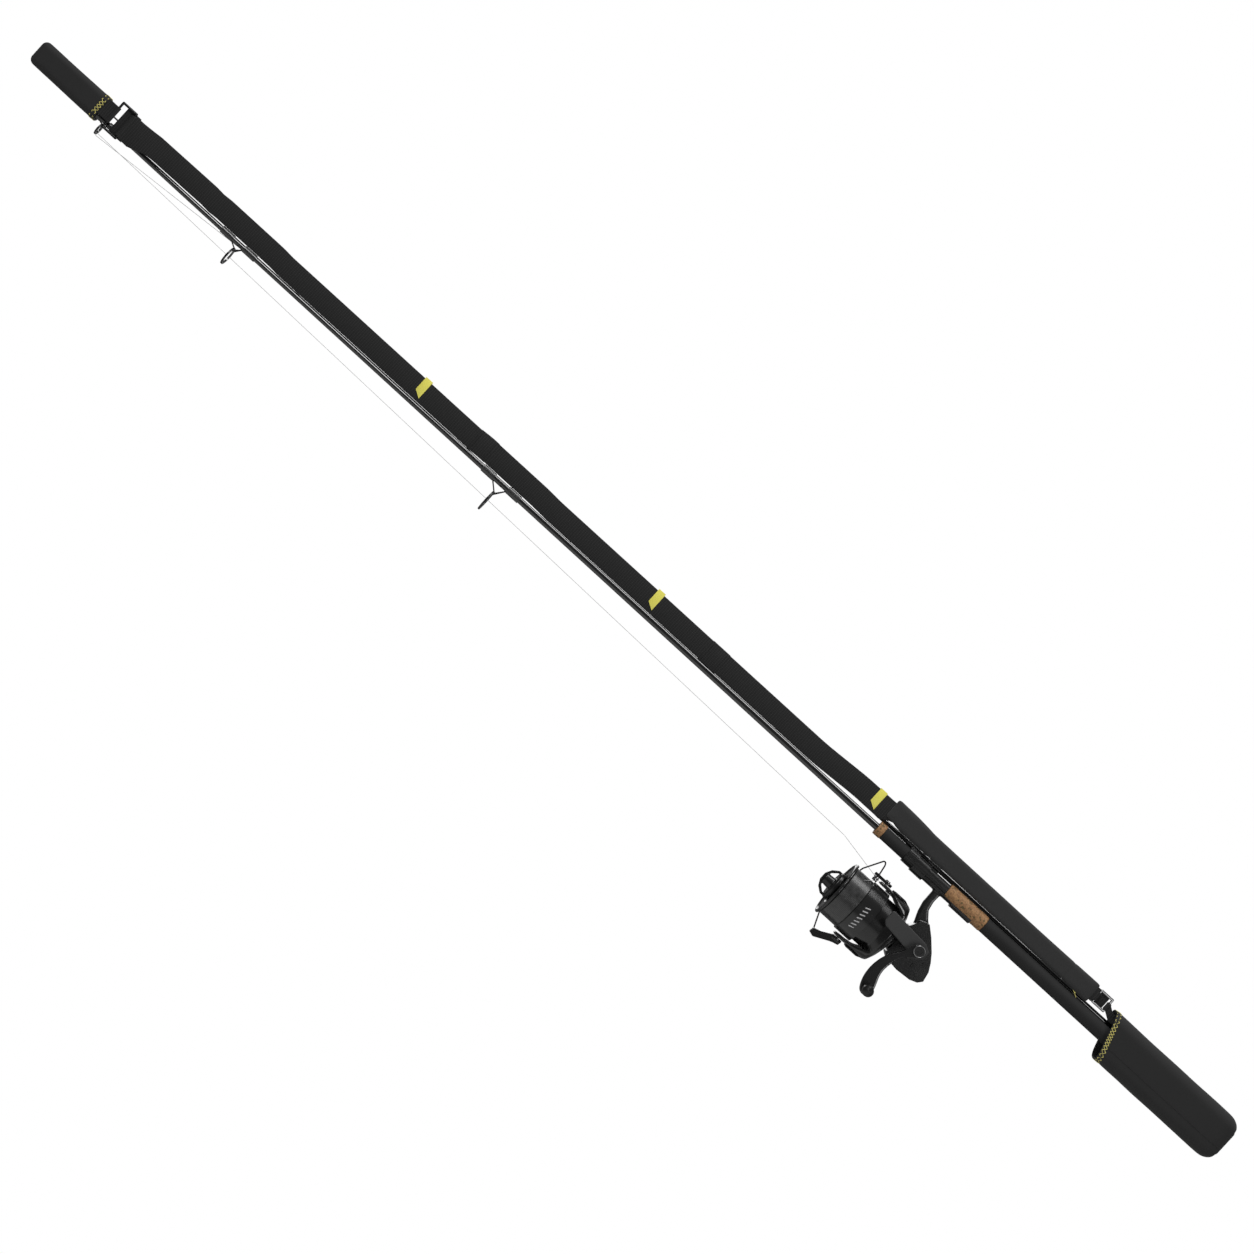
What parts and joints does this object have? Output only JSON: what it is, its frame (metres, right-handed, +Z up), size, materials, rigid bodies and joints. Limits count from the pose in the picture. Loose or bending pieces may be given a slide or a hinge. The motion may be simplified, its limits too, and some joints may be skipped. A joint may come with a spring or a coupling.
{
  "type": "fishing rod and reel",
  "caption": "Two-piece spinning rod with a front-drag spinning reel, taken down and held for carrying by an elastic strap between slip-on tip and butt covers.",
  "frame": {"origin": "on the rod's axis, above the middle of the reel's stem, where the hand closes round the reel seat", "axes": "+X along the rod towards the butt, +Z up with the reel hanging below, the crank on the -Y side"},
  "size_m": [1.857, 0.1446, 0.193],
  "materials": {
    "carbon": "high gloss clear coat over carbon",
    "black_metal": "satin black enamel",
    "dark_alloy": "anodised dark grey",
    "housing": "fine matte composite",
    "foam": "closed-cell foam",
    "cork": "pressed cork",
    "neoprene": "knit-faced neoprene",
    "webbing": "ribbed elastic webbing",
    "tag": "woven tag",
    "steel": "ground steel",
    "black_steel": "blackened steel",
    "brass": "machined brass",
    "ceramic": "polished ceramic",
    "thread": "lacquered thread",
    "line": "clear grey monofilament",
    "carbon_washer": "carbon cloth washer"
  },
  "bodies": {
    "rod_and_housing": {"butt_blank": "carbon", "tip_blank": "carbon", "ferrule_sleeve": "carbon", "butt_guide_frames": "black_steel", "tip_guide_frames": "black_steel", "guide_rings": "ceramic", "thread_wraps": "thread", "reel_seat": "carbon", "cork_insert": "cork", "rear_grip": "foam", "butt_cap": "foam", "butt_cover": "neoprene", "elastic_strap": "webbing", "strap_tags": "tag", "strap_pad": "neoprene", "bottom_buckle": "steel", "butt_cover_loop": "webbing", "fishing_line": "line", "tied_off_line": "line", "reel_body": "housing", "rear_cover": "dark_alloy", "side_cover": "housing", "cover_screws": "steel", "side_guard": "housing", "drive_bearings": "steel", "pinion_bearing": "steel", "one_way_clutch": "steel"},
    "hood": {"moving_hood": "dark_alloy"},
    "locking_grip": {"lock_nut": "dark_alloy", "fore_grip": "foam", "cork_ring": "cork"},
    "tip_cover_set": {"tip_cover": "neoprene", "tip_cover_loop": "webbing", "top_buckle": "black_steel"},
    "crank": {"drive_gear": "dark_alloy", "handle_arm": "dark_alloy", "handle_cap": "steel", "knob_pin": "steel"},
    "knob": {"handle_knob": "foam"},
    "rotor": {"pinion_gear": "brass", "rotor": "housing", "rotor_nut": "brass", "rotor_arm_covers": "housing", "bail_screws": "steel", "bail_spring": "steel"},
    "bail": {"bail_arm": "dark_alloy", "roller_pin": "dark_alloy", "bail_lever": "dark_alloy", "bail_wire": "black_steel", "line_lead": "line"},
    "roller": {"line_roller": "steel"},
    "worm": {"worm_shaft": "steel", "worm_gear": "brass"},
    "spool_shaft": {"main_shaft": "steel", "crosswind_slider": "brass"},
    "spool": {"spool": "dark_alloy", "spool_line": "line", "drag_washers": "carbon_washer"},
    "drag_knob": {"drag_knob": "dark_alloy"}
  },
  "joints": [
    {"name": "rotor_spin", "type": "hinge", "parent": "rod_and_housing", "child": "rotor", "pos_m": [-0.02, 0, -0.0834], "axis": [1, 0, 0], "continuous": true},
    {"name": "crank_turn", "type": "hinge", "parent": "rod_and_housing", "child": "crank", "pos_m": [0.02, -0.04, -0.072], "axis": [0, 1, 0], "continuous": true},
    {"name": "knob_spin", "type": "hinge", "parent": "crank", "child": "knob", "pos_m": [0.004, -0.07, -0.1435], "axis": [0, 1, 0], "continuous": true},
    {"name": "worm_spin", "type": "hinge", "parent": "rod_and_housing", "child": "worm", "pos_m": [0.02, 0, -0.0946], "axis": [1, 0, 0], "continuous": true},
    {"name": "spool_stroke", "type": "slide", "parent": "rod_and_housing", "child": "spool_shaft", "axis": [1, 0, 0], "range_m": [0, 0.016]},
    {"name": "spool_slip", "type": "hinge", "parent": "spool_shaft", "child": "spool", "pos_m": [-0.07, 0, -0.0834], "axis": [1, 0, 0], "continuous": true},
    {"name": "drag_adjust", "type": "hinge", "parent": "spool_shaft", "child": "drag_knob", "pos_m": [-0.1, 0, -0.0834], "axis": [1, 0, 0], "continuous": true},
    {"name": "bail_flip", "type": "hinge", "parent": "rotor", "child": "bail", "pos_m": [-0.0515, 0, -0.0834], "axis": [0, 0, 1], "range_deg": [0, 110], "deforming": ["line_lead"]},
    {"name": "roller_spin", "type": "hinge", "parent": "bail", "child": "roller", "pos_m": [-0.065, -0.002, -0.0444], "axis": [0, 0, 1], "continuous": true},
    {"name": "hood_slide", "type": "slide", "parent": "rod_and_housing", "child": "hood", "axis": [-1, 0, 0], "range_m": [0, 0.0106]},
    {"name": "grip_screw", "type": "hinge", "parent": "hood", "child": "locking_grip", "pos_m": [-0.05, 0, 0], "axis": [1, 0, 0], "range_deg": [0, 1260]},
    {"name": "tip_cover_pull", "type": "slide", "parent": "rod_and_housing", "child": "tip_cover_set", "axis": [-1, 0, 0], "range_m": [0, 0.11], "deforming": ["elastic_strap", "strap_tags"]}
  ],
  "couplings": [
    {"joint": "crank_turn", "follows": "rotor_spin", "ratio": 0.19565},
    {"joint": "worm_spin", "follows": "rotor_spin", "ratio": -0.69231},
    {"joint": "hood_slide", "follows": "grip_screw", "m_per_rad": 0.00047746}
  ]
}
